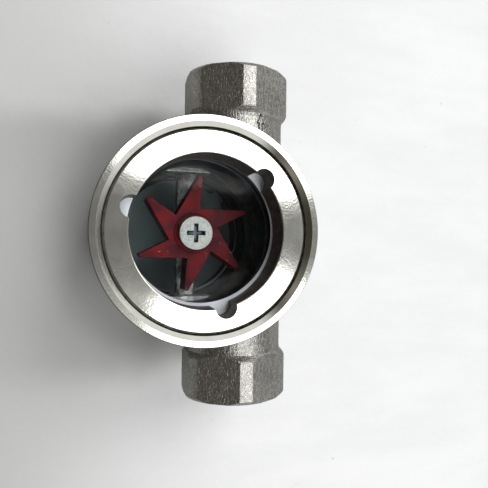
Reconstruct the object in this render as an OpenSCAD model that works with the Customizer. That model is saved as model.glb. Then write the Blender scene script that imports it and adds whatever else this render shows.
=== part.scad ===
// Flow sight glass with a turning impeller, for G1/2 pipe.
// A cast drum has a round window on each side and a threaded hexagonal end above and below.
// Millimetres. Origin: window axis at the middle of the drum. +Z leaves the front window, +Y is the flow.

/* [Pipe ends] */
// Distance between the two end faces
face_to_face = 89; // [76:1:110]
// Hexagon size across the flats
hex_flats = 27; // [22.5:0.5:34]
// Length of each hexagon
hex_length = 11.2; // [9:0.2:15]
// How far the hexagon's sharp corners are turned down
corner_cut = 0.9; // [0.3:0.1:1.5]
// Chamfer round each end face
end_chamfer = 1; // [0.4:0.1:1.4]
// Length of the slope from the hexagon down to the neck
hex_slope = 1.7; // [1:0.1:2.5]
// How far the round neck lies below the flats
neck_step = 0.3; // [0.1:0.1:0.8]
// Distance of the pipe axis from the window axis
pipe_offset = 12.6; // [9:0.2:15]
// Major diameter of the pipe thread
pipe_thread_d = 20.955; // [16.6:0.005:20.955]
// Depth of the pipe thread
pipe_thread_length = 14; // [11:0.5:17]
// Chamfer at the mouth of the pipe thread, at most half of the wall
mouth_chamfer = 0.8; // [0.4:0.1:1]
// Diameter of the waterway
waterway_d = 14; // [10:0.5:17]

/* [Drum] */
// Outer diameter of the drum
drum_d = 53.4; // [44:0.2:66]
// Height of the drum over both rims
drum_height = 53.5; // [44.5:0.5:66]
// Edge break round each rim
rim_edge = 0.4; // [0.2:0.1:0.8]
// Wall between the gland thread and the outside
rim_wall = 2.7; // [2.2:0.1:4]
// Width of the chamfer that leads into the gland thread
thread_lead = 1; // [0.5:0.1:1.4]
// Step from the gland thread down to the window seat
seat_step = 1.4; // [1.2:0.1:2]
// Width of the ledge that the window is clamped against
ledge_width = 3.6; // [2.5:0.1:4.5]
// Depth of the chamber from ledge to ledge
chamber_depth = 20; // [16.6:0.2:24]

/* [Windows] */
// Thickness of each glass disc
glass_t = 5; // [4:0.2:6.4]
// Thickness of the gasket between the ledge and the glass
seat_gasket_t = 1; // [0.8:0.1:1.6]
// Thickness of the slip gasket between the glass and the gland
slip_gasket_t = 1.5; // [1:0.1:2]
// How far the slip gasket shows inside the gland's bore
gasket_show = 0.35; // [0.2:0.05:1.2]
// Edge break on each glass disc
glass_edge = 0.4; // [0.2:0.1:0.6]

/* [Glands] */
// Depth of each gland's face below the rim
gland_recess = 1.35; // [0.6:0.05:2]
// How much smaller than the chamber the gland's bore is, on the radius
gland_lip = 0.9; // [0.5:0.1:1.5]
// Chamfer round the gland's outer edge
gland_chamfer = 0.7; // [0.3:0.1:1]
// Edge break round the gland's bore
gland_bore_edge = 0.25; // [0.1:0.05:0.5]
// Radius of the spanner notches
notch_r = 2.6; // [2:0.1:3]
// Distance of the notch centres outside the bore
notch_out = 0.1; // [0:0.05:0.6]
// Number of spanner notches
notch_count = 3; // [2:1:6]
// Angle of the first spanner notch
notch_angle = 43.6; // [0:0.2:90]

/* [Impeller] */
// Number of arms
arm_count = 6; // [5:1:7]
// Gap between the arm tips and the chamber wall
tip_gap = 3.5; // [2:0.1:5]
// Radius at the bottom of the valleys between the arms
valley_r = 6.8; // [6:0.1:7.5]
// Angle from each tip to the valley beside it
valley_lag = 8; // [4:1:12]
// Width of the blunt tips
tip_width = 1; // [0.6:0.1:1.6]
// Angle of the first arm
arm_angle = 83.2; // [0:0.2:90]
// Thickness of the arms
arm_t = 8; // [6:0.2:9]
// Radius of the raised hub
hub_r = 5.4; // [4.6:0.1:6]
// Height of the hub above the arms on each side
hub_rise = 0.3; // [0.1:0.1:0.8]
// End play of the impeller on each side
end_play = 0.15; // [0.1:0.05:0.3]
// Running clearance of the impeller on its sleeve, on the radius
running_gap = 0.05; // [0.02:0.01:0.1]

/* [Axle] */
// Diameter of the axle screw's thread
screw_d = 4; // [3:0.5:5]
// Diameter of the screw head
head_d = 8.8; // [7.4:0.1:10]
// Height of the screw head
head_t = 2.6; // [2:0.1:3]
// Length of the cross recess's slots
recess_length = 5.2; // [4:0.1:6]
// Width of the cross recess's slots
recess_width = 1.2; // [0.8:0.1:1.6]
// Depth of the cross recess
recess_depth = 1.3; // [0.8:0.1:1.6]
// Gap between the screw head and the front glass
head_gap = 1.5; // [1:0.1:2.4]
// Wall of the axle sleeve
sleeve_wall = 1; // [0.6:0.1:1.3]
// Thickness of the washers
washer_t = 0.5; // [0.4:0.1:0.8]
// How far the washers' edge lies inside the head's
washer_inset = 0.1; // [0:0.1:0.4]
// Width of the web that carries the boss
web_width = 5.4; // [4:0.1:7]
// Thickness of the web
web_t = 3.2; // [2.4:0.1:3.6]
// Chamfer along the web's edges
web_edge = 0.6; // [0.3:0.1:1]
// Radius of the boss
boss_r = 4.8; // [4:0.1:5.4]
// Reach of the ramps between web and boss
ramp_reach = 2.4; // [1:0.2:4]
// How far the pads at the web's ends reach in from the chamber wall
pad_reach = 1.3; // [0.6:0.1:2]
// Gap between the screw's tip and the rear of the web
tip_short = 0.8; // [0.4:0.1:1.5]

/* [Fits] */
// Clearance between the gland and its thread bore, on the radius
thread_gap = 0.1; // [0.05:0.05:0.2]
// Clearance of the glass and the gaskets in their seat, on the radius
seat_gap = 0.3; // [0.2:0.05:0.5]
// Clearance of the screw in its holes, on the radius
screw_gap = 0.05; // [0.02:0.01:0.1]
// Gap between the gland and the step below its thread
gland_float = 0.5; // [0.3:0.1:0.8]

/* [Flow arrow] */
// Height of the cast arrow above the neck
arrow_rise = 0.3; // [0.2:0.1:0.5]
// Width of the arrow's head
arrow_width = 2.4; // [1.6:0.2:4]
// Length of the arrow's head
arrow_head = 2; // [1:0.2:3]
// Width of the arrow's shaft
arrow_shaft = 0.9; // [0.6:0.1:1.4]
// Angle of the arrow round the neck, from the front
arrow_angle = 15; // [0:1:30]
// Distance from the arrow's tip to the hexagon's slope
arrow_back = 0.3; // [0.2:0.1:1]

/* [Hidden] */
$fn = 96;
eps = 0.01;
beyond = 5;

// Pipe ends
neck_r = hex_flats / 2 - neck_step;
hex_sharp_r = hex_flats / 2 / cos(30);
corner_r = hex_sharp_r - corner_cut;
hex_start = face_to_face / 2 - hex_length;
thread_start = face_to_face / 2 - pipe_thread_length;

// Radii of the drum, from the outside in
drum_r = drum_d / 2;
gland_thread_r = drum_r - rim_wall;
seat_r = gland_thread_r - seat_step;
chamber_r = seat_r - ledge_width;
window_r = seat_r - seat_gap;
gland_bore_r = chamber_r - gland_lip;
gland_r = gland_thread_r - thread_gap;

// Heights above the middle of the drum, from the chamber out
ledge_z = chamber_depth / 2;
glass_z = ledge_z + seat_gasket_t;
slip_z = glass_z + glass_t;
gland_z = slip_z + slip_gasket_t;
thread_z = gland_z - gland_float;
rim_z = drum_height / 2;
gland_face_z = rim_z - gland_recess;

// Heights on the axle, from the front glass back
head_z = glass_z - head_gap;
head_seat_z = head_z - head_t;
sleeve_top_z = head_seat_z - washer_t;
hub_front_z = sleeve_top_z - end_play;
arm_front_z = hub_front_z - hub_rise;
arm_back_z = arm_front_z - arm_t;
hub_back_z = arm_back_z - hub_rise;
sleeve_foot_z = hub_back_z - end_play;
boss_z = sleeve_foot_z - washer_t;
web_z = -ledge_z + web_t;
screw_tip_z = -ledge_z + tip_short;

// Radii on the axle
screw_r = screw_d / 2;
sleeve_bore_r = screw_r + screw_gap;
sleeve_r = sleeve_bore_r + sleeve_wall;
tip_r = chamber_r - tip_gap;
washer_r = head_d / 2 - washer_inset;

module on_rear() {
    mirror([0, 0, 1]) children();
}

// Turns a shape that stands on +Z so that it points along the pipe, towards +Y or -Y.
module along_pipe(side) {
    translate([pipe_offset, 0, 0]) rotate([-90 * side, 0, 0]) children();
}

module ring(outer_r, inner_r, low, high) {
    translate([0, 0, low]) difference() {
        cylinder(r = outer_r, h = high - low);
        translate([0, 0, -beyond]) cylinder(r = inner_r, h = high - low + 2 * beyond);
    }
}

// One hexagonal end: corners turned down, chamfered at the end face, sloping down to the neck behind.
module pipe_end() {
    end = face_to_face / 2;
    intersection() {
        translate([0, 0, hex_start - hex_slope]) linear_extrude(hex_length + hex_slope)
            rotate(30) circle(r = hex_sharp_r, $fn = 6);
        rotate_extrude() polygon([
            [0, hex_start - hex_slope], [neck_r, hex_start - hex_slope],
            [corner_r, hex_start], [corner_r, end - end_chamfer],
            [corner_r - end_chamfer, end], [0, end]]);
    }
    cylinder(r = neck_r, h = hex_start);
}

module pipe_bore() {
    end = face_to_face / 2;
    thread_r = pipe_thread_d / 2;
    wall = hex_flats / 2 - thread_r;
    chamfer = min(mouth_chamfer, wall / 2);
    rotate_extrude() polygon([
        [0, thread_start], [thread_r, thread_start], [thread_r, end - chamfer],
        [thread_r + chamfer, end], [thread_r + chamfer, end + beyond], [0, end + beyond]]);
}

module flow_arrow() {
    head_end = hex_start - hex_slope - arrow_back;
    shaft_start = drum_r - beyond;
    rotate([0, arrow_angle, 0]) intersection() {
        rotate([-90, 0, 0]) cylinder(r = neck_r + arrow_rise, h = head_end);
        linear_extrude(neck_r + beyond) polygon([
            [0, head_end], [arrow_width / 2, head_end - arrow_head],
            [arrow_shaft / 2, head_end - arrow_head], [arrow_shaft / 2, shaft_start],
            [-arrow_shaft / 2, shaft_start],
            [-arrow_shaft / 2, head_end - arrow_head], [-arrow_width / 2, head_end - arrow_head]]);
    }
}

// The chamber with the seat, the thread bore and the lead-in of one window above it.
module window_recess() {
    rotate_extrude() polygon([
        [0, -eps], [chamber_r, -eps], [chamber_r, ledge_z], [seat_r, ledge_z], [seat_r, thread_z],
        [gland_thread_r, thread_z], [gland_thread_r, rim_z - thread_lead],
        [gland_thread_r + thread_lead, rim_z], [gland_thread_r + thread_lead, rim_z + beyond],
        [0, rim_z + beyond]]);
}

// Raises a side view drawn along the web, in Y and Z, to a width about X = 0.
module ramp(width) rotate([90, 0, 90]) translate([0, 0, -width / 2]) linear_extrude(width) children();

// The web across the rear of the chamber, its boss, a pad at each end, and ramps up to boss and pads.
module web_and_boss() {
    half = web_width / 2;
    into_wall = chamber_r + ledge_width / 4;
    pad_y = chamber_r - pad_reach;
    ramp_top = (boss_z + web_z) / 2;
    rotate([90, 0, 0]) translate([0, 0, -into_wall]) linear_extrude(2 * into_wall) polygon([
        [-half, -ledge_z], [half, -ledge_z], [half, web_z - web_edge],
        [half - web_edge, web_z], [web_edge - half, web_z], [-half, web_z - web_edge]]);
    ramp(web_width - 2 * web_edge) polygon([
        [-boss_r - ramp_reach, web_z - eps], [boss_r + ramp_reach, web_z - eps],
        [boss_r - web_edge, ramp_top], [web_edge - boss_r, ramp_top]]);
    translate([0, 0, -ledge_z]) cylinder(r = boss_r, h = ledge_z + boss_z);
    for (turn = [0, 180]) rotate(turn) {
        ramp(web_width - 2 * web_edge) polygon([
            [pad_y - ramp_reach, web_z - eps], [pad_y + web_edge, web_z - eps],
            [pad_y + web_edge, ramp_top]]);
        intersection() {
            translate([0, 0, -ledge_z]) cylinder(r = into_wall, h = ledge_z + boss_z);
            translate([-chamber_r, pad_y, -ledge_z])
                cube([2 * chamber_r, pad_reach + ledge_width, ledge_z]);
        }
    }
}

module body() color([0.62, 0.61, 0.58]) {
    difference() {
        union() {
            difference() {
                union() {
                    rotate_extrude() polygon([
                        [0, -rim_z], [drum_r - rim_edge, -rim_z], [drum_r, rim_edge - rim_z],
                        [drum_r, rim_z - rim_edge], [drum_r - rim_edge, rim_z], [0, rim_z]]);
                    for (side = [-1, 1]) along_pipe(side) pipe_end();
                    translate([pipe_offset, 0, 0]) flow_arrow();
                }
                window_recess();
                on_rear() window_recess();
                for (side = [-1, 1]) along_pipe(side) pipe_bore();
            }
            web_and_boss();
        }
        along_pipe(1) translate([0, 0, -thread_start - eps])
            cylinder(d = waterway_d, h = 2 * (thread_start + eps));
        translate([0, 0, -ledge_z - beyond]) cylinder(r = sleeve_bore_r, h = ledge_z + boss_z + 2 * beyond);
    }
}

module gland() color([0.80, 0.80, 0.78]) difference() {
    rotate_extrude() polygon([
        [gland_bore_r, gland_z], [gland_r - gland_chamfer, gland_z], [gland_r, gland_z + gland_chamfer],
        [gland_r, gland_face_z - gland_chamfer], [gland_r - gland_chamfer, gland_face_z],
        [gland_bore_r + gland_bore_edge, gland_face_z], [gland_bore_r, gland_face_z - gland_bore_edge]]);
    for (k = [0:notch_count - 1])
        rotate(notch_angle + k * 360 / notch_count)
            translate([gland_bore_r + notch_out, 0, gland_z - beyond])
                cylinder(r = notch_r, h = gland_face_z - gland_z + 2 * beyond);
}

module slip_gasket() color([0.93, 0.94, 0.95]) ring(window_r, gland_bore_r - gasket_show, slip_z, gland_z);

module seat_gasket() color([0.12, 0.12, 0.13]) ring(window_r, chamber_r + seat_gap, ledge_z, glass_z);

module glass() color([0.75, 0.85, 0.86, 0.35]) rotate_extrude() polygon([
    [0, glass_z], [window_r - glass_edge, glass_z], [window_r, glass_z + glass_edge],
    [window_r, slip_z - glass_edge], [window_r - glass_edge, slip_z], [0, slip_z]]);

module impeller() color([0.60, 0.07, 0.10]) difference() {
    pitch = 360 / arm_count;
    half_tip = asin(tip_width / 2 / tip_r);
    union() {
        translate([0, 0, arm_back_z]) linear_extrude(arm_t) rotate(arm_angle) polygon([
            for (k = [0:arm_count - 1])
                for (corner = [[valley_r, -valley_lag], [tip_r, -half_tip], [tip_r, half_tip]])
                    corner[0] * [cos(k * pitch + corner[1]), sin(k * pitch + corner[1])]]);
        translate([0, 0, hub_back_z]) cylinder(r = hub_r, h = hub_front_z - hub_back_z);
    }
    translate([0, 0, hub_back_z - beyond])
        cylinder(r = sleeve_r + running_gap, h = hub_front_z - hub_back_z + 2 * beyond);
}

module axle_sleeve() color([0.72, 0.72, 0.70]) ring(sleeve_r, sleeve_bore_r, sleeve_foot_z, sleeve_top_z);

module washer(foot) color([0.72, 0.72, 0.70]) ring(washer_r, sleeve_bore_r, foot, foot + washer_t);

// Pan-head screw with a cross recess.
module axle_screw() color([0.78, 0.79, 0.78]) difference() {
    head_r = head_d / 2;
    edge = head_t / 10;
    union() {
        translate([0, 0, screw_tip_z]) cylinder(r = screw_r, h = head_seat_z - screw_tip_z + eps);
        rotate_extrude() polygon(concat(
            [[0, head_seat_z], [head_r, head_seat_z]],
            [for (a = [0:15:90]) [head_r - edge + edge * cos(a), head_z - edge + edge * sin(a)]],
            [[0, head_z]]));
    }
    for (turn = [0, 90])
        rotate(turn) translate([0, 0, head_z])
            cube([recess_length, recess_width, 2 * recess_depth], center = true);
}

body();
gland();  // front_gland
on_rear() gland();  // rear_gland
slip_gasket();  // front_slip_gasket
on_rear() slip_gasket();  // rear_slip_gasket
glass();  // front_glass
on_rear() glass();  // rear_glass
seat_gasket();  // front_seat_gasket
on_rear() seat_gasket();  // rear_seat_gasket
impeller();
axle_sleeve();
axle_screw();
washer(head_seat_z - washer_t);  // front_washer
washer(boss_z);  // rear_washer
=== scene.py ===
from math import atan2, cos, hypot, pi, radians, sin

import bmesh
import bpy
from mathutils import Matrix, Vector


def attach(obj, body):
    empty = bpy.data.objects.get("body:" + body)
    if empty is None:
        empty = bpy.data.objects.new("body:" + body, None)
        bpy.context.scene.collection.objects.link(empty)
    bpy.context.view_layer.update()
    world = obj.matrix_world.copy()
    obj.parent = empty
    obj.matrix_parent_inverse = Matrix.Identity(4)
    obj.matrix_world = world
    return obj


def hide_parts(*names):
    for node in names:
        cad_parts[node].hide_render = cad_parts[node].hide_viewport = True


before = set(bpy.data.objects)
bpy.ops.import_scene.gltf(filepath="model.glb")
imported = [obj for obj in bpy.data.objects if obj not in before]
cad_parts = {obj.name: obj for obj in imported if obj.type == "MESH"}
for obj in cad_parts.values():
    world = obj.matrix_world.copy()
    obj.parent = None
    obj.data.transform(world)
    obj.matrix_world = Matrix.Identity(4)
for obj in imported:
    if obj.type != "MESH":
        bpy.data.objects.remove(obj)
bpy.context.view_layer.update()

# --- Casting --------------------------------------------------------------------------------------
# Investment-cast stainless steel with a blasted grain: drum, necks, hexagonal pipe ends, flow arrow
# and the bridge across the rear of the chamber in one. The rims, window seats and pipe threads are
# turned bright afterwards. The chamber wall is coloured darker and bluish, and waterway and gland
# threads darker and matt, as painted shade.
MM = 0.001


def profile(bm, outline):
    """The points and edges of a line through (radius, height) pairs, to be turned about Z."""
    points = [bm.verts.new((radius, 0, height)) for radius, height in outline]
    return points, [bm.edges.new(pair) for pair in zip(points, points[1:])]


def closed(bm):
    """Merges doubles and turns the faces outwards."""
    bmesh.ops.remove_doubles(bm, verts=bm.verts, dist=1e-4)
    bmesh.ops.recalc_face_normals(bm, faces=bm.faces)
    return bm


def lathe(outline, steps=192):
    """An outline turned about Z. It is closed on itself unless it starts and ends on the axis."""
    bm = bmesh.new()
    points, edges = profile(bm, outline)
    if outline[0][0] > 0:
        edges.append(bm.edges.new((points[-1], points[0])))
    bmesh.ops.spin(bm, geom=points + edges, cent=(0, 0, 0), axis=(0, 0, 1), angle=2 * pi,
                   steps=steps, use_merge=True)
    return closed(bm)


def rod(radius, low, high, steps=192):
    """A plain round bar about Z."""
    return lathe([(0, low), (radius, low), (radius, high), (0, high)], steps)


def thread_outline(crest, start, turns, pitch):
    """The few (radius, rise) pairs of one thread crest, again at each turn, a pitch apart."""
    return [(radius, start + turn * pitch + rise)
            for turn in range(turns) for radius, rise in crest]


def prism(corners, low, high):
    """A flat outline in X and Y, raised from one height to another."""
    bm = bmesh.new()
    base = bm.faces.new([bm.verts.new((x, y, low)) for x, y in corners])
    raised = bmesh.ops.extrude_face_region(bm, geom=[base])["geom"]
    top = [part for part in raised if isinstance(part, bmesh.types.BMVert)]
    bmesh.ops.translate(bm, vec=(0, 0, high - low), verts=top)
    return closed(bm)


def block(middle, size, turn=0):
    """A rectangular block about a middle point, then turned about Z by an angle."""
    bm = bmesh.new()
    bmesh.ops.create_cube(bm, size=1, matrix=Matrix.Rotation(turn, 4, "Z")
                          @ Matrix.Translation(middle) @ Matrix.Diagonal((*size, 1)))
    return closed(bm)


def moved(bm, matrix):
    """The same shape, carried by a matrix."""
    bmesh.ops.transform(bm, matrix=matrix, verts=bm.verts)
    return bm


def along_pipe(side):
    """Carries a shape that stands on +Z onto the pipe axis, pointing to +Y or to -Y."""
    return Matrix.Translation((PIPE_X, 0, 0)) @ Matrix.Rotation(-side * pi / 2, 4, "X")


def as_object(bm, name="work"):
    """An object of the scene that holds the shape. The bmesh is used up."""
    mesh = bpy.data.meshes.new(name)
    bm.to_mesh(mesh)
    bm.free()
    holder = bpy.data.objects.new(name, mesh)
    bpy.context.scene.collection.objects.link(holder)
    return holder


def finished(work, *others):
    """The mesh that an object's modifiers give, as a bmesh. It and the others are removed."""
    bpy.context.view_layer.update()
    bm = bmesh.new()
    bm.from_mesh(work.evaluated_get(bpy.context.evaluated_depsgraph_get()).to_mesh())
    for used in (work, *others):
        bpy.data.objects.remove(used)
    return bm


def combined(bm, tool, operation, finish=0):
    """Adds, cuts or intersects with a tool. The faces that it leaves get the finish, which is
    the place of their look in the piece's own list."""
    for face in tool.faces:
        face.material_index = finish
    work, helper = as_object(bm), as_object(tool)
    # both get the same looks, so that each face keeps its own place among them
    for holder in (work, helper):
        for surface in LOOKS:
            holder.data.materials.append(surface)
    step = work.modifiers.new("step", "BOOLEAN")
    step.object, step.operation, step.solver = helper, operation, "MANIFOLD"
    return finished(work, helper)


def joined(*shapes):
    """Several shapes in one bmesh, still overlapping."""
    whole = shapes[0]
    for shape in shapes[1:]:
        mesh = bpy.data.meshes.new("work")
        shape.to_mesh(mesh)
        shape.free()
        whole.from_mesh(mesh)
        bpy.data.meshes.remove(mesh)
    return whole


def smoothed(bm, verts, rounds):
    """Evens out some vertices, round after round."""
    for _ in range(rounds):
        bmesh.ops.smooth_vert(bm, verts=verts, factor=0.5, use_axis_x=True, use_axis_y=True,
                              use_axis_z=True)
    return bm


def remeshed(bm, voxel, rounds):
    """One even skin over joined shapes, smoothed as a casting's corners are."""
    work = as_object(bm)
    step = work.modifiers.new("skin", "REMESH")
    step.mode, step.voxel_size = "VOXEL", voxel
    skinned = finished(work)
    return smoothed(skinned, skinned.verts, rounds)


def trimmed(bm, *planes, dist=0):
    """Cuts off what lies beyond each (height, direction along Z), and closes the cuts."""
    for height, direction in planes:
        bmesh.ops.bisect_plane(bm, geom=[*bm.verts, *bm.edges, *bm.faces], dist=dist,
                               plane_co=(0, 0, height), plane_no=(0, 0, direction),
                               clear_outer=True)
    bmesh.ops.holes_fill(bm, edges=[edge for edge in bm.edges if edge.is_boundary])
    return bm


def softened(bm, width, segments=2):
    """Rounds every edge that turns by more than 20 degrees."""
    sharp = [edge for edge in bm.edges
             if len(edge.link_faces) == 2 and abs(edge.calc_face_angle(0)) > radians(20)]
    bmesh.ops.bevel(bm, geom=sharp, offset=width, offset_type="OFFSET", affect="EDGES",
                    segments=segments, profile=0.5, material=-1, clamp_overlap=True)
    return bm


def made(name, bm, looks, node, body="housing"):
    """Finishes a piece: metres, shading that keeps flats flat, looks, and what it stands for."""
    bmesh.ops.remove_doubles(bm, verts=bm.verts, dist=2e-4)
    bmesh.ops.dissolve_degenerate(bm, dist=2e-4, edges=bm.edges)
    bmesh.ops.scale(bm, vec=(MM, MM, MM), verts=bm.verts)
    piece = as_object(bm, name)
    for surface in looks:
        piece.data.materials.append(surface)
    piece.data.shade_smooth()
    piece.data.set_sharp_from_angle(angle=radians(30))
    piece.modifiers.new("flats", "WEIGHTED_NORMAL").keep_sharp = True
    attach(piece, body)
    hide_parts(node)


class Wire:
    """A socket of a material's nodes. Sums on wires add Math nodes, and add() adds any node."""

    def __init__(self, tree, socket=None):
        self.tree, self.socket = tree, socket

    def add(self, kind, sockets, settings=None, output=0):
        """A node of a kind, with its settings made first and then its sockets set or linked."""
        node = self.tree.nodes.new("ShaderNode" + kind)
        for name, value in (settings or {}).items():
            if name == "stops":
                # a ramp has two stops from the start
                for place, _ in value[:-2]:
                    node.color_ramp.elements.new(place)
                for element, (place, colour) in zip(node.color_ramp.elements, value):
                    element.position, element.color = place, (*colour, 1)
            else:
                setattr(node, name, value)
        for key, value in sockets.items():
            if isinstance(value, Wire):
                self.tree.links.new(value.socket, node.inputs[key])
            else:
                node.inputs[key].default_value = value
        return Wire(self.tree, node.outputs[output])

    def maths(self, operation, first, second=0.0):
        return self.add("Math", {0: first, 1: second}, {"operation": operation})

    def __add__(self, other):
        return self.maths("ADD", self, other)

    def __sub__(self, other):
        return self.maths("SUBTRACT", self, other)

    def __rsub__(self, other):
        return self.maths("SUBTRACT", other, self)

    def __mul__(self, other):
        return self.maths("MULTIPLY", self, other)

    def __abs__(self):
        return self.maths("ABSOLUTE", self)

    __radd__, __rmul__ = __add__, __mul__

    def axis(self, number):
        """One number of a position: 0, 1 or 2 for X, Y or Z."""
        return self.add("SeparateXYZ", {0: self}, output=number)

    def noise(self, scale, detail=2.0, roughness=0.5, stretch=None):
        """Noise with that many grains a metre on this position. A stretch below 1 draws the
        grains out along that axis."""
        place = self.add("Mapping", {"Vector": self, "Scale": stretch}) if stretch else self
        return self.add("TexNoise", {"Vector": place, "Scale": scale, "Detail": detail,
                                     "Roughness": roughness})

    def band(self, low, high):
        """0 at low and 1 at high, smooth between and flat beyond. Low may be the higher one."""
        return self.add("MapRange", {"Value": self, "From Min": low, "From Max": high},
                        {"interpolation_type": "SMOOTHSTEP"})

    def blend(self, first, second):
        """A colour from first to second as this goes from 0 to 1."""
        return self.add("Mix", {0: self, 6: first, 7: second}, {"data_type": "RGBA"}, output=2)


def look(name, surface, **constants):
    """A Principled material. surface(position) gives the sockets that vary, and the constants
    are set on the shader itself."""
    material = bpy.data.materials.new(name)
    material.use_nodes = True
    tree = material.node_tree
    shader = tree.nodes["Principled BSDF"]
    for key, value in constants.items():
        shader.inputs[key.replace("_", " ")].default_value = value
    position = Wire(tree).add("TexCoord", {}, output=3)
    for key, value in surface(position).items():
        tree.links.new(value.socket, shader.inputs[key])
    return material


def bumped(height, distance):
    """A normal from a height that runs from 0 to 1 over a distance in metres."""
    return height.add("Bump", {"Height": height, "Distance": distance})


def cast_surface(at):
    """Blasted grain over fine folds along the pipe, whose crests are painted paler as their glints,
    in slow clouds of tone.
    """
    folds = at.noise(1250, 2, 0.4, stretch=(1, 0.38, 1)) - 0.5
    wrinkles_and_glints = abs(folds).band(0.09, 0.0)
    grain = at.noise(2400, 3, 0.65)
    # painted highlight: the folds' crests are paler, as the glints they catch; their bump is real
    # relief
    tone = at.noise(120, 3, 0.6).band(0.35, 0.65) * 0.3 + wrinkles_and_glints * 0.7
    return {"Base Color": tone.blend((0.25, 0.244, 0.227, 1), (0.41, 0.401, 0.374, 1)),
            "Roughness": grain * 0.15 + 0.2,
            "Normal": bumped(wrinkles_and_glints * 0.18 + grain * 0.62, 0.00015)}


def turned_surface(at):
    """Bright metal with the tool's fine grooves round Z, a little uneven and worn."""
    across = at.add("VectorMath", {0: at, 1: (1, 1, 0)}, {"operation": "MULTIPLY"})
    radius = at.add("VectorMath", {0: across}, {"operation": "LENGTH"}, output=1)
    grooves = at.add("CombineXYZ", {0: radius}).noise(9000, 2, 0.7)
    wear = at.noise(240, 4, 0.6)
    return {"Base Color": wear.band(0.3, 0.7).blend((0.655, 0.652, 0.602, 1),
                                                    (0.735, 0.737, 0.69, 1)),
            "Roughness": wear * 0.04 + 0.08,
            "Normal": bumped(grooves * 0.1 + at.noise(1900, 2, 0.5), 0.0000065)}


def wetted_surface(at):
    """Cast skin that the flow has scoured pale in patches."""
    grain = at.noise(2000, 3, 0.65)
    clouds = at.noise(420, 4, 0.65).band(0.4, 0.6)
    return {"Base Color": clouds.blend((0.36, 0.357, 0.34, 1), (0.86, 0.855, 0.83, 1)),
            "Roughness": grain * 0.2 + 0.26,
            "Normal": bumped(grain, 0.00018)}


def matt_shade_surface(at):
    """Rougher metal for threads, bores and broken edges, coloured dark as painted shade."""
    film = at.noise(500, 4, 0.6)
    return {"Base Color": film.band(0.35, 0.65).blend((0.10, 0.098, 0.088, 1),
                                                      (0.17, 0.167, 0.155, 1)),
            "Roughness": film * 0.2 + 0.42}


def deep_shade_surface(at):
    """Painted shade: darker, bluish metal for the chamber's wall, the arrow's outline and the
    screw's recess.
    """
    film = at.noise(420, 4, 0.65)
    return {"Base Color": film.band(0.35, 0.65).blend((0.07, 0.082, 0.094, 1),
                                                      (0.12, 0.136, 0.15, 1)),
            "Roughness": film * 0.2 + 0.45}


CAST_STEEL = look("cast_steel", cast_surface, Metallic=1.0, Specular_Tint=(0.5, 0.5, 0.5, 1))
WETTED_STEEL = look("wetted_steel", wetted_surface, Metallic=1.0)
MATT_SHADE_STEEL = look("matt_shade_steel", matt_shade_surface, Metallic=1.0)
TURNED_STEEL = look("turned_steel", turned_surface, Metallic=1.0)
DEEP_SHADE_STEEL = look("deep_shade_steel", deep_shade_surface, Metallic=1.0)
LOOKS = (CAST_STEEL, TURNED_STEEL, WETTED_STEEL, MATT_SHADE_STEEL, DEEP_SHADE_STEEL)
CAST, TURNED, WETTED, MATT_SHADE, DEEP_SHADE = range(5)

# The drum is cast a little long, to be faced, and its skin is drawn in a little, to stay inside
# the CAD model's box. Where the necks leave it, the corners are smoothed further.
DRUM_R, RIM_Z = 26.7, 26.75
PIPE_X, NECK_R = 12.6, 13.2
HEX_FOOT, END_Y, FLATS_R = 31, 44.5, 13.5
FACING_STOCK, DRAWN_IN = 0.7, 0.05
FILLET = 2.4

skin = rod(DRUM_R - DRAWN_IN, -RIM_Z - FACING_STOCK, RIM_Z + FACING_STOCK)
necks = [moved(rod(NECK_R, 0, HEX_FOOT + 1), along_pipe(side)) for side in (-1, 1)]
casting = remeshed(joined(skin, *necks), voxel=0.5, rounds=1)
root = [vert for vert in casting.verts
        if abs(hypot(vert.co.x, vert.co.y) - DRUM_R) < FILLET
        and abs(hypot(vert.co.x - PIPE_X, vert.co.z) - NECK_R) < FILLET]
casting = smoothed(casting, root, rounds=14)

# Each hexagon slopes up from the neck, and its corners are turned back, more so at the end face.
SHARP_R = FLATS_R / cos(radians(30))
CORNER_R = SHARP_R - 0.9
corner_turns = [radians(30 + 60 * corner) for corner in range(6)]

for side in (-1, 1):
    hexagon = prism([(SHARP_R * cos(turn), SHARP_R * sin(turn)) for turn in corner_turns],
                    HEX_FOOT, END_Y)
    envelope = lathe([(0, HEX_FOOT), (NECK_R + 0.05, HEX_FOOT), (NECK_R + 0.05, HEX_FOOT + 0.6),
                      (NECK_R + 0.25, HEX_FOOT + 1), (CORNER_R - 0.3, HEX_FOOT + 1.9),
                      (CORNER_R, HEX_FOOT + 2.4), (CORNER_R, END_Y - 1), (CORNER_R - 1, END_Y),
                      (0, END_Y)])
    pipe_end = softened(combined(hexagon, envelope, "INTERSECT"), width=0.12)
    casting = combined(casting, moved(pipe_end, along_pipe(side)), "UNION")

# The flow arrow stands a little above the upper neck, in a shallow outline coloured darker as
# painted shade.
ARROW_TIP, HEAD_FOOT, ARROW_TAIL = 31.2, 29.4, 22
HEAD_HALF, SHAFT_HALF = 0.85, 0.3
ARROW_TURN = radians(16)


def arrow(grow, low, high):
    """The arrow between two radii of the neck, wider by grow on every side."""
    half = [(HEAD_HALF + grow, HEAD_FOOT - grow), (SHAFT_HALF + grow, HEAD_FOOT - grow),
            (SHAFT_HALF + grow, ARROW_TAIL)]
    outline = [(0, ARROW_TIP + 2 * grow), *half, *[(-x, y) for x, y in reversed(half)]]
    shell = lathe([(low, ARROW_TAIL - 2), (high, ARROW_TAIL - 2), (high, ARROW_TIP + 1.8),
                   (low, ARROW_TIP + 1.8)])
    shell = moved(shell, Matrix.Rotation(-pi / 2, 4, "X"))
    shape = combined(prism(outline, NECK_R - 5.2, NECK_R + 2.8), shell, "INTERSECT")
    return moved(shape, Matrix.Translation((PIPE_X, 0, 0)) @ Matrix.Rotation(ARROW_TURN, 4, "Y"))


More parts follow.
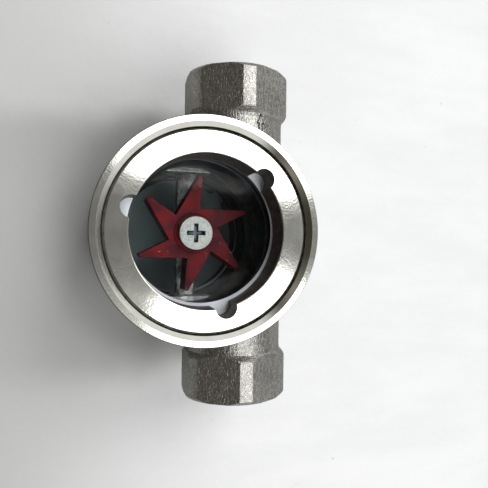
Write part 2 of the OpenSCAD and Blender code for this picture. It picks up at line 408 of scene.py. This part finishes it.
outline_tool = arrow(grow=0.4, low=NECK_R - 0.45, high=NECK_R + 1)
casting = combined(casting, outline_tool, "DIFFERENCE", DEEP_SHADE)
raised_arrow = arrow(grow=0, low=NECK_R - 0.6, high=NECK_R + 0.1)
casting = combined(casting, raised_arrow, "UNION", CAST)

# Both rims are faced in the lathe. Their broken outer edge is coloured dark and matt as painted
# shade.
RIM_EDGE_R, BEYOND_PIPE_ENDS = 26.45, 90

front_cut = [(BEYOND_PIPE_ENDS, RIM_Z - 1), (RIM_EDGE_R + 0.8, RIM_Z - 1), (RIM_EDGE_R, RIM_Z),
             (0, RIM_Z)]
rear_cut = [(radius, -height) for radius, height in reversed(front_cut)]
casting = combined(casting, lathe(rear_cut + front_cut), "INTERSECT", TURNED)
for face in casting.faces:
    if face.material_index == TURNED and abs(face.normal.z) < 0.9:
        face.material_index = MATT_SHADE

# The chamber goes through from ledge to ledge, and its front edge is broken. Outwards from each
# ledge come the glass's seat, the gland's thread with a relief above it, and the broken inner edge
# of the rim.
CHAMBER_R, LEDGE_Z = 19.0, 10.0
SEAT_R, GLAND_FLOOR_Z = 22.6, 17.0
GLAND_THREAD_R, GLAND_PITCH = 24.0, 1.5
RELIEF_R, RELIEF_Z, EDGE_Z = GLAND_THREAD_R + 0.05, 23.9, RIM_Z - 1.05
OVER_EDGE = 2.3

chamber = lathe([(0, -LEDGE_Z - 1), (CHAMBER_R, -LEDGE_Z - 1), (CHAMBER_R, LEDGE_Z - 0.2),
                 (CHAMBER_R + 1, LEDGE_Z + 0.5), (0, LEDGE_Z + 0.5)])
# the chamber's wall is coloured darker and bluish: painted shade
casting = combined(casting, chamber, "DIFFERENCE", DEEP_SHADE)
window_side = [
    (0, LEDGE_Z), (SEAT_R, LEDGE_Z), (SEAT_R, GLAND_FLOOR_Z), (GLAND_THREAD_R, GLAND_FLOOR_Z),
    *thread_outline([(GLAND_THREAD_R, 0), (GLAND_THREAD_R - 0.5, 0.6), (GLAND_THREAD_R, 1.2)],
                    GLAND_FLOOR_Z + 0.9, turns=4, pitch=GLAND_PITCH),
    (RELIEF_R, RELIEF_Z), (RELIEF_R, EDGE_Z), (RELIEF_R + OVER_EDGE, EDGE_Z + OVER_EDGE),
    (0, EDGE_Z + OVER_EDGE)]
for sign in (-1, 1):
    cutter = lathe([(radius, sign * height) for radius, height in window_side])
    casting = combined(casting, cutter, "DIFFERENCE", TURNED)

# The walls of the gland's thread and relief are coloured dark and matt as painted shade. Its floor
# and the seat are bright.
for face in casting.faces:
    middle = face.calc_center_median()
    in_thread = SEAT_R + 0.5 < hypot(middle.x, middle.y) < GLAND_THREAD_R + 0.2
    if in_thread and abs(middle.z) < EDGE_Z and abs(face.normal.z) < 0.9:
        face.material_index = MATT_SHADE

# A tap cuts the helical thread of each pipe end, which is then bored, with a bevelled mouth.
PIPE_THREAD_R, PIPE_PITCH = 10.4775, 1.814
PIPE_BORE_R, BORE_FOOT = PIPE_THREAD_R - 1.1, END_Y - 14
TAP_STEPS = 96
tooth = [(PIPE_BORE_R - 0.02, 0), (PIPE_BORE_R - 0.02, 0.3), (PIPE_THREAD_R - 0.02, 0.86),
         (PIPE_THREAD_R - 0.02, 1.16)]

for side in (-1, 1):
    tap = bmesh.new()
    helix = thread_outline(tooth, BORE_FOOT - 2.5, turns=12, pitch=PIPE_PITCH)
    points, edges = profile(tap, helix)
    bmesh.ops.spin(tap, geom=points + edges, cent=(0, 0, 0), axis=(0, 0, 1), angle=2 * pi,
                   steps=TAP_STEPS, dvec=(0, 0, PIPE_PITCH / TAP_STEPS))
    bmesh.ops.remove_doubles(tap, verts=tap.verts, dist=1e-3)
    tap = trimmed(tap, (BORE_FOOT + 0.9, -1), (END_Y + 1, 1), dist=1e-4)
    bore = lathe([(0, BORE_FOOT), (PIPE_BORE_R, BORE_FOOT), (PIPE_BORE_R, END_Y - 1.5),
                  (PIPE_THREAD_R, END_Y - 0.8), (PIPE_THREAD_R + 1.8, END_Y + 1),
                  (0, END_Y + 1)], steps=TAP_STEPS)
    for tool in (closed(tap), bore):
        casting = combined(casting, moved(tool, along_pipe(side)), "DIFFERENCE", TURNED)

# The bridge: a web from wall to wall, a boss for the axle screw, slopes beside the boss and up to
# a pad at each end. It is made a little deep and trimmed level with the rear ledge.
BOSS_R, BOSS_Z = 4.8, -3.0
BRIDGE_FOOT = -LEDGE_Z - 0.1
WEB_MIDDLE, WEB_SIZE = (0, 0, -8.45), (5.4, 39.8, 3.3)
SLOPE_LOW, SLOPE_HIGH, SLOPE_HALF = -7, -4.9, 2.1
BOSS_SLOPE_START, BOSS_SLOPE_END = 7.2, 4.3
PAD_SLOPE_START, PAD_SLOPE_END = 15.3, 18.3
PAD_SIZE, PAD_Y, PAD_Z = (20, 3, 9), 19.2, -6.5

slopes = [prism([(-BOSS_SLOPE_START, SLOPE_LOW), (BOSS_SLOPE_START, SLOPE_LOW),
                 (BOSS_SLOPE_END, SLOPE_HIGH), (-BOSS_SLOPE_END, SLOPE_HIGH)],
                -SLOPE_HALF, SLOPE_HALF)]
pads = []
for side in (-1, 1):
    slopes.append(prism([(side * PAD_SLOPE_START, SLOPE_LOW), (side * PAD_SLOPE_END, SLOPE_LOW),
                         (side * PAD_SLOPE_END, SLOPE_HIGH)], -SLOPE_HALF, SLOPE_HALF))
    pads.append(combined(rod(CHAMBER_R + 0.9, BRIDGE_FOOT, BOSS_Z),
                         block((0, side * PAD_Y, PAD_Z), PAD_SIZE), "INTERSECT"))
upright = Matrix.Rotation(pi / 2, 4, "Z") @ Matrix.Rotation(pi / 2, 4, "X")
bridge = joined(block(WEB_MIDDLE, WEB_SIZE), rod(BOSS_R, BRIDGE_FOOT, BOSS_Z),
                *[moved(slope, upright) for slope in slopes], *pads)
bridge = trimmed(remeshed(bridge, voxel=0.25, rounds=3), (-LEDGE_Z, -1))
casting = combined(casting, bridge, "UNION", WETTED)

# The pad at the upper end gets the darker cast look instead of the pale wetted one: painted shade,
# as it lies in shadow under the gland.
for face in casting.faces:
    middle = face.calc_center_median()
    on_shaded_pad = (middle.y > PAD_Y - 1.6 and abs(middle.x) < PAD_SIZE[0] / 2 + 0.5
              and -LEDGE_Z < middle.z < BOSS_Z + 0.5)
    if face.material_index == WETTED and on_shaded_pad:
        face.material_index = CAST

WATERWAY_R, SCREW_HOLE_R = 7, 2.05
# the waterway's wall is coloured dark and matt: painted shade
waterway = moved(rod(WATERWAY_R, -HEX_FOOT, HEX_FOOT, steps=96), along_pipe(1))
casting = combined(casting, waterway, "DIFFERENCE", MATT_SHADE)
screw_hole = rod(SCREW_HOLE_R, -LEDGE_Z - 2, BOSS_Z + 1, steps=48)
casting = combined(casting, screw_hole, "DIFFERENCE", TURNED)
made("casting", casting, LOOKS, "body")

# --- Axle -----------------------------------------------------------------------------------------
# A cross-recess pan-head screw clamps a sleeve between two washers onto the casting's boss. All
# are stainless steel, and the impeller runs on the sleeve.
SCREW_R, THREAD_CUT = 2.0, 0.35
SCREW_END, THREAD_START, THREAD_END = -9.2, -8.9, 4.9
HEAD_R, HEAD_TOP, HEAD_SEAT = 4.4, 9.5, 6.9
HEAD_EDGE = 0.12
RECESS_SIZE, RECESS_TAPER, RECESS_Z = (5.5, 1.3, 1.8), 0.64, HEAD_TOP - 0.4
SLEEVE_R, SLEEVE_TOP, SLEEVE_FOOT = 3.05, 6.4, -2.5
WASHER_R, WASHER_T = 4.3, 0.5


def fastener_surface(at):
    """Tumbled steel, matt and finely speckled."""
    grain = at.noise(3200, 2, 0.6)
    spots = grain.band(0.35, 0.65)
    return {"Base Color": spots.blend((0.27, 0.272, 0.257, 1), (0.42, 0.422, 0.403, 1)),
            "Roughness": grain * 0.2 + 0.36,
            "Normal": bumped(grain, 0.00008)}


def rounded(radius, height, edge, angles):
    """The points of an edge rounded about a centre, at some angles in degrees."""
    return [(radius + edge * cos(radians(angle)), height + edge * sin(radians(angle)))
            for angle in angles]


def ring(outer, inner, low, high, edge, steps=96):
    """A flat ring with its four edges broken."""
    return lathe([(inner, low + edge), (inner + edge, low), (outer - edge, low),
                  (outer, low + edge), (outer, high - edge), (outer - edge, high),
                  (inner + edge, high), (inner, high - edge)], steps)


FASTENER_STEEL = look("fastener_steel", fastener_surface, Metallic=1.0)

crest = [(SCREW_R - THREAD_CUT, 0), (SCREW_R, 0.3), (SCREW_R, 0.4)]
screw = lathe([(0, SCREW_END), (SCREW_R - THREAD_CUT, SCREW_END),
               *thread_outline(crest, THREAD_START, turns=19, pitch=0.7),
               (SCREW_R - 0.1, THREAD_END), (SCREW_R - 0.1, HEAD_SEAT),
               (HEAD_R - 0.1, HEAD_SEAT), (HEAD_R, HEAD_SEAT + 0.1),
               *rounded(HEAD_R - HEAD_EDGE, HEAD_TOP - HEAD_EDGE, HEAD_EDGE, range(0, 91, 15)),
               (0, HEAD_TOP)], steps=96)
for quarter in (0, 1):
    slot = block((0, 0, RECESS_Z), RECESS_SIZE, quarter * pi / 2)
    deep = [vert for vert in slot.verts if vert.co.z < RECESS_Z]
    bmesh.ops.scale(slot, vec=(RECESS_TAPER, RECESS_TAPER, 1), verts=deep)
    slot = closed(softened(slot, width=0.14, segments=3))
    # the recess is coloured darker and bluish: painted shade
    screw = combined(screw, slot, "DIFFERENCE", finish=1)
made("axle_screw_piece", screw, (FASTENER_STEEL, DEEP_SHADE_STEEL), "axle_screw")

sleeve = ring(SLEEVE_R, SCREW_HOLE_R, SLEEVE_FOOT, SLEEVE_TOP, edge=0.12)
made("axle_sleeve_piece", sleeve, (FASTENER_STEEL,), "axle_sleeve")
for end, foot in (("front", SLEEVE_TOP), ("rear", BOSS_Z)):
    washer = ring(WASHER_R, SCREW_HOLE_R, foot, foot + WASHER_T, edge=0.08)
    made(end + "_washer_piece", washer, (FASTENER_STEEL,), end + "_washer")

# --- Impeller -------------------------------------------------------------------------------------
# A six-armed star moulded in dark red plastic, with a raised hub on each side. It turns freely on
# the sleeve. The arms taper to narrow tips, and the valleys between them lie off centre.
ARM_FRONT, ARM_BACK = 5.95, -2.05
TIP_R, VALLEY_R = 15.5, 6.8
HALF_TIP, VALLEY_LAG = atan2(0.5, TIP_R), radians(8)
FIRST_ARM = 83.2  # degrees from X
HUB_R, HUB_RISE, HUB_EDGE = 5.4, 0.3, 0.2
HUB_BORE_R = 3.1


def plastic_surface(at):
    """Dark red in clouds from bright to deep, with fine pale specks of dust."""
    clouds = at.noise(210, 3, 0.6)
    dust = at.noise(1300, 2, 0.5).band(0.70, 0.76)
    tone = clouds.band(0.38, 0.62).blend((0.075, 0.005, 0.011, 1), (0.175, 0.006, 0.010, 1))
    return {"Base Color": dust.blend(tone, (0.50, 0.26, 0.24, 1)),
            "Roughness": clouds * 0.2 + 0.30,
            "Normal": bumped(at.noise(2200, 3, 0.6), 0.00004)}


RED_PLASTIC = look("red_plastic", plastic_surface, IOR=1.45, Specular_IOR_Level=0.12)

corners = []
for arm in range(6):
    for radius, lag in ((VALLEY_R, -VALLEY_LAG), (TIP_R, -HALF_TIP), (TIP_R, HALF_TIP)):
        angle = radians(FIRST_ARM + 60 * arm) + lag
        corners.append((radius * cos(angle), radius * sin(angle)))
star = softened(prism(corners, ARM_BACK, ARM_FRONT), width=0.15)
hub = lathe([(0, ARM_BACK - HUB_RISE), (HUB_R - HUB_EDGE, ARM_BACK - HUB_RISE),
             (HUB_R, ARM_BACK - 0.1), (HUB_R, ARM_FRONT + 0.1),
             (HUB_R - HUB_EDGE, ARM_FRONT + HUB_RISE), (0, ARM_FRONT + HUB_RISE)], steps=96)
star = combined(star, hub, "UNION")
bore = rod(HUB_BORE_R, ARM_BACK - 0.95, ARM_FRONT + 1.05, steps=96)
star = combined(star, bore, "DIFFERENCE")
made("star_impeller", star, (RED_PLASTIC,), "impeller", body="rotor")

# --- Seat gaskets, glasses and slip gaskets -------------------------------------------------------
# Each window is a clear toughened disc. It lies on a black rubber ring on the casting's ledge, and
# under the gland it has a white fluoropolymer ring on a thin black rubber backing, slipped a little
# off centre, which shows inside the gland's bore and in its notches. The backing is partly painted
# shade: it darkens the lower inner edge of the ring, which lies in shade.
GLASS_Z, SLIP_Z, GLAND_Z = 11.0, 16.0, 17.5
WINDOW_R, GLASS_EDGE = 22.3, 0.4
SEAT_RING_BORE = 19.3
SLIP_BORE, BACKING_BORE, BACKING_TOP = 18.0, 18.05, SLIP_Z + 0.9
SLIPPED = (-0.18, 0.63, 0)


def gasket_surface(at):
    """White, very slightly cloudy and waxy."""
    clouds = at.noise(180, 3, 0.6)
    return {"Base Color": clouds.band(0.3, 0.7).blend((0.60, 0.63, 0.68, 1), (0.68, 0.71, 0.75, 1)),
            "Roughness": clouds * 0.2 + 0.35,
            "Normal": bumped(at.noise(1500, 3, 0.6), 0.00004)}


def rubber_surface(at):
    """Black, matt and slightly cloudy."""
    clouds = at.noise(300, 3, 0.6)
    return {"Base Color": clouds.band(0.3, 0.7).blend((0.018, 0.018, 0.019, 1),
                                                      (0.032, 0.032, 0.033, 1)),
            "Roughness": clouds * 0.2 + 0.5}


def clear_glass():
    """Clear glass that bends no light, with a faint smudged shine."""
    material = bpy.data.materials.new("clear_glass")
    material.use_nodes = True
    tree = material.node_tree
    tree.nodes.remove(tree.nodes["Principled BSDF"])
    start = Wire(tree)
    smudge = start.add("TexCoord", {}, output=3).noise(150, 4, 0.6)
    clear = start.add("BsdfTransparent", {"Color": (0.945, 0.96, 0.96, 1)})
    shine = start.add("BsdfGlossy", {"Color": (1, 1, 1, 1), "Roughness": smudge * 0.06 + 0.01})
    glass = start.add("MixShader", {0: start.add("Fresnel", {"IOR": 1.15}), 1: clear, 2: shine})
    tree.links.new(glass.socket, tree.nodes["Material Output"].inputs["Surface"])
    return material


WHITE_GASKET = look("white_gasket", gasket_surface, IOR=1.38, Subsurface_Weight=0.15,
                    Subsurface_Radius=(0.002, 0.002, 0.002))
BLACK_RUBBER = look("black_rubber", rubber_surface, IOR=1.5)
CLEAR_GLASS = clear_glass()


def on_side(bm, side):
    """A front piece as it is, or mirrored to the rear."""
    if side == "rear":
        bmesh.ops.scale(bm, vec=(1, 1, -1), verts=bm.verts)
        bmesh.ops.reverse_faces(bm, faces=bm.faces)
    return bm


for side in ("front", "rear"):
    seat = ring(WINDOW_R, SEAT_RING_BORE, LEDGE_Z, GLASS_Z, edge=0.12, steps=192)
    made(side + "_seat_ring", on_side(seat, side), (BLACK_RUBBER,),
         side + "_seat_gasket")

    disc = lathe([(0, GLASS_Z), (WINDOW_R - GLASS_EDGE, GLASS_Z), (WINDOW_R, GLASS_Z + GLASS_EDGE),
                  (WINDOW_R, SLIP_Z - GLASS_EDGE), (WINDOW_R - GLASS_EDGE, SLIP_Z), (0, SLIP_Z)])
    made(side + "_window", on_side(disc, side), (CLEAR_GLASS,), side + "_glass")

    slip = ring(WINDOW_R, SLIP_BORE, BACKING_TOP, GLAND_Z, edge=0.1, steps=192)
    inner = [vert for vert in slip.verts if hypot(vert.co.x, vert.co.y) < SLIP_BORE + 1]
    bmesh.ops.translate(slip, vec=SLIPPED, verts=inner)
    # the black backing is partly painted shade on the ring's lower inner edge
    backing_and_shade = ring(WINDOW_R, BACKING_BORE, SLIP_Z, BACKING_TOP + 0.05, edge=0.1, steps=192)
    slip = combined(slip, backing_and_shade, "UNION", finish=1)
    made(side + "_slip_ring", on_side(slip, side), (WHITE_GASKET, BLACK_RUBBER),
         side + "_slip_gasket")

# --- Glands ---------------------------------------------------------------------------------------
# Turned and polished stainless rings, screwed down on the slip gaskets. Each has three half-round
# notches round its bore for a pin spanner. The bore, the notches and the thread are coloured dark
# and matt as painted shade.
GLAND_R, GLAND_FACE, GLAND_BORE = 23.9, 25.4, 18.1
BORE_EDGE = 0.3
NOTCH_R = 2.6
FIRST_NOTCH = 43.6  # degrees from X

gland_outline = [
    (GLAND_BORE, GLAND_Z + 0.2), (GLAND_BORE + 0.2, GLAND_Z), (GLAND_R - 0.7, GLAND_Z),
    (GLAND_R, GLAND_Z + 0.25),
    *thread_outline([(GLAND_R, 0), (GLAND_R - 0.6, 0.65), (GLAND_R, 1.3)], GLAND_FLOOR_Z + 0.85,
                    turns=4, pitch=GLAND_PITCH),
    (GLAND_R, GLAND_FACE - 0.6), (GLAND_R - 0.2, GLAND_FACE - 0.28),
    (GLAND_R - 0.65, GLAND_FACE),
    *rounded(GLAND_BORE + BORE_EDGE, GLAND_FACE - BORE_EDGE, BORE_EDGE,
             (90, 112.5, 135, 157.5, 180))]
for side in ("front", "rear"):
    gland = lathe(gland_outline)
    for notch in range(3):
        cutter = rod(NOTCH_R, GLAND_Z - 1, GLAND_FACE + 1, steps=64)
        place = (Matrix.Rotation(radians(FIRST_NOTCH + 120 * notch), 4, "Z")
                 @ Matrix.Translation((GLAND_BORE + 0.1, 0, 0)))
        gland = combined(gland, moved(cutter, place), "DIFFERENCE")
    for face in gland.faces:
        middle = face.calc_center_median()
        radius = hypot(middle.x, middle.y)
        on_thread = radius > GLAND_R - 0.8 and middle.z < GLAND_FACE - 0.5
        in_bore = radius < GLAND_BORE + NOTCH_R + 0.5 and abs(face.normal.z) < 0.3
        face.material_index = 1 if on_thread or in_bore else 0
    made(side + "_gland_ring", on_side(gland, side), (TURNED_STEEL, MATT_SHADE_STEEL),
         side + "_gland")

# --- Floor, lights and camera ---------------------------------------------------------------------
# A pale table top under the rear rim with painted shade and light, a soft room that is brighter at
# both ends of the pipe, broad lamps a metre up on the upper and the lower side, and the camera over
# the front window.


def floor_surface(at):
    """A pale top with painted shade on the left, beside the pipe and round the drum, a painted pool
    of light under the windows, streaks on the right, and specks.
    """
    across, along = at.axis(0), at.axis(1)
    wander = at.noise(25, 3, 0.6) * 0.012 - 0.006
    streaks = at.noise(38, 5, 0.7, stretch=(0.35, 1, 1)).band(0.35, 0.65)
    # painted shade: darker on the left, pale and streaked on the right
    left = along.band(-0.04, 0.03).blend((0.415, 0.418, 0.413, 1), (0.475, 0.478, 0.472, 1))
    right = streaks.blend((0.63, 0.637, 0.643, 1), (0.67, 0.677, 0.683, 1))
    shaded_tone = (across + wander).band(-0.06, 0.02).blend(left, right)

    # painted shadows: beside the pipe, and then close to the drum
    pipe = (abs(along + 0.004) + wander).band(0.047, 0.034) * across.band(0.012, -0.012)
    shaded_tone = (pipe * across.band(-0.16, -0.09)).blend(shaded_tone, (0.375, 0.378, 0.372, 1))
    drum = at.add("VectorMath", {0: at, 1: (0, 0, -0.027)}, {"operation": "DISTANCE"}, output=1)
    beside = (drum + wander).band(0.046, 0.032) * across.band(0.0, -0.01)
    shaded_tone = beside.blend(shaded_tone, (0.265, 0.268, 0.263, 1))

    # a painted pool of light under the windows
    shaded_tone = drum.band(0.022, 0.019).blend(shaded_tone, (0.66, 0.75, 0.76, 1))
    specks = at.noise(420, 2, 0.6).band(0.73, 0.80) * 0.6
    return {"Base Color": specks.blend(shaded_tone, (0.42, 0.42, 0.42, 1)),
            "Normal": bumped(at.noise(300, 3), 0.0001)}


table = bmesh.new()
bmesh.ops.create_grid(table, x_segments=1, y_segments=1, size=3)
bmesh.ops.translate(table, vec=(0, 0, -RIM_Z * MM), verts=table.verts)
table = as_object(table, "table")
table.data.materials.append(look("table_top", floor_surface, Roughness=0.6))

world = bpy.data.worlds.new("studio")
world.use_nodes = True
bpy.context.scene.world = world
start = Wire(world.node_tree)

# The room's tone from left to right, then a soft glow on the lower side, and a bright wall at
# either end of the pipe.
direction = start.add("TexCoord", {})
sideways, endways = direction.axis(0), direction.axis(1)
room = start.add("ValToRGB", {0: sideways * 0.5 + 0.5}, {"stops": (
    (0.0, (0.05, 0.045, 0.035)), (0.06, (0.06, 0.055, 0.04)), (0.15, (0.30, 0.275, 0.245)),
    (0.28, (0.08, 0.076, 0.07)), (0.38, (0.08, 0.076, 0.07)), (0.48, (0.20, 0.195, 0.185)),
    (0.7, (0.28, 0.28, 0.27)), (1.0, (0.45, 0.46, 0.46)))})
glow = endways.band(-0.02, -0.17) * sideways.band(0.3, 0.1) * sideways.band(-0.2, -0.05)
room = glow.blend(room, (0.65, 0.645, 0.63, 1))
bright_ends = (abs(endways) + sideways * 0.4).band(0.55, 0.85)
room = bright_ends.blend(room, (0.95, 0.95, 0.93, 1))
world.node_tree.links.new(room.socket, world.node_tree.nodes["Background"].inputs["Color"])


def lamp(name, corner, size, turn, radiance):
    """A flat lamp a metre above the window, facing down. It spreads from the corner given, turned
    by some degrees, and a negative size spreads it to the other side."""
    light = bpy.data.lights.new(name, "AREA")
    light.shape, light.size, light.size_y = "RECTANGLE", abs(size[0]), abs(size[1])
    light.energy = radiance * pi * light.size * light.size_y
    holder = bpy.data.objects.new(name, light)
    holder.visible_camera = False
    holder.matrix_world = (Matrix.Translation((*corner, 1)) @ Matrix.Rotation(radians(turn), 4, "Z")
                           @ Matrix.Translation((size[0] / 2, size[1] / 2, 0)))
    bpy.context.scene.collection.objects.link(holder)


BRIGHT, SOFT = 4.2, 3.0

lamp("lamp_over", (0.073, 0.147), (0.312, 0.9), -6.6, BRIGHT)
lamp("lamp_over_left", (0.0, 0.186), (0.083, 0.8), -28, BRIGHT)
lamp("lamp_over_right", (0.383, 0.111), (0.65, 0.7), 20, BRIGHT)
lamp("lamp_under", (0.101, -0.111), (0.284, -0.9), 14.5, SOFT)
lamp("lamp_under_left", (0.101, -0.111), (0.25, -0.8), -11, SOFT)
lamp("lamp_under_right", (0.376, -0.04), (0.6, -0.7), -35, SOFT)
lamp("lamp_left", (0.10, -0.21), (-0.16, -0.8), 0, SOFT)

# The eye is over the front window, a little to the left, and looks back at it.
EYE = Vector((-24.36, -3.87, 136.61))

camera = bpy.data.objects.new("camera", bpy.data.cameras.new("camera"))
camera.data.sensor_width = 36
camera.data.lens = 36.48
camera.data.clip_start = 0.01
right, up = Vector((0.9594, 0.0112, 0.2820)), Vector((-0.0133, 0.9999, 0.0052))
back = Vector((-0.2819, -0.0088, 0.9594))
turn = Matrix((right, up, back)).transposed().to_4x4()
camera.matrix_world = Matrix.Translation(EYE * MM) @ turn
bpy.context.scene.collection.objects.link(camera)
bpy.context.scene.camera = camera
bpy.context.scene.view_settings.view_transform = "Standard"
